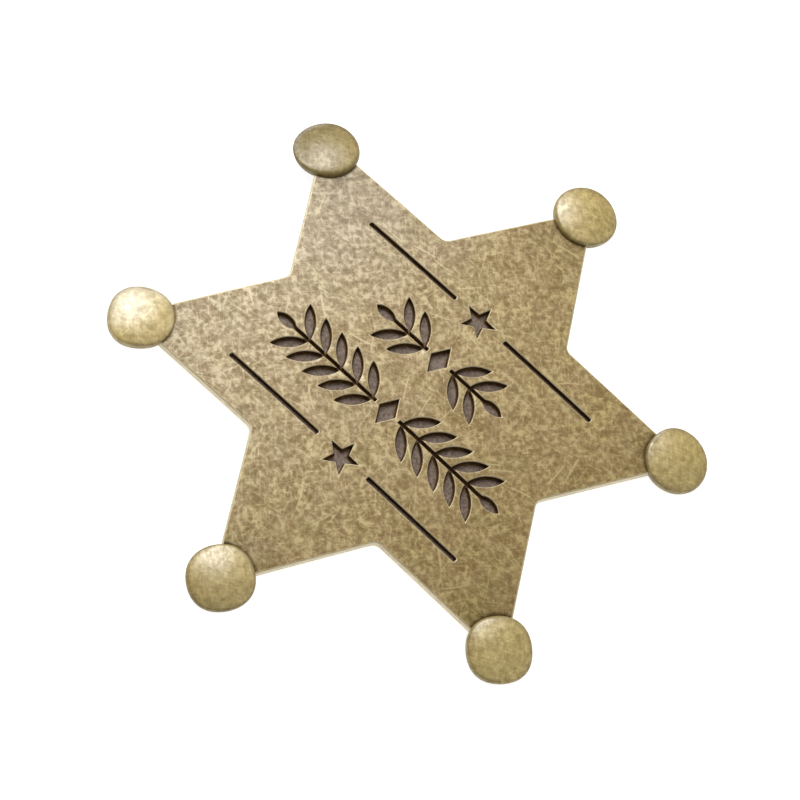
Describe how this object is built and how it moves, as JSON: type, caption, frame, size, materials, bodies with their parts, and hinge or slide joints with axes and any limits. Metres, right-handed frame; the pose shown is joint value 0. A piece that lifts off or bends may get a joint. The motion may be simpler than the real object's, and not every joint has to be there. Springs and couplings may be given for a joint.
{
  "type": "star badge",
  "caption": "Six-pointed cast star badge with a domed disc on each tip, engraved rules, small stars and leaf sprigs on its face, and a flat closed pin behind.",
  "frame": {"origin": "centre of the badge, on the surface that it rests on face up", "axes": "+Z out of the badge's face, +Y towards its top tip"},
  "size_m": [0.0576, 0.0654, 0.0034],
  "materials": {
    "antique_brass": "antique plated, relieved, with fine scratches and dark engraving",
    "pin_steel": "brass-washed spring steel, satin"
  },
  "bodies": {
    "root": {"star_casting": "antique_brass", "back_pin": "pin_steel"}
  },
  "joints": []
}
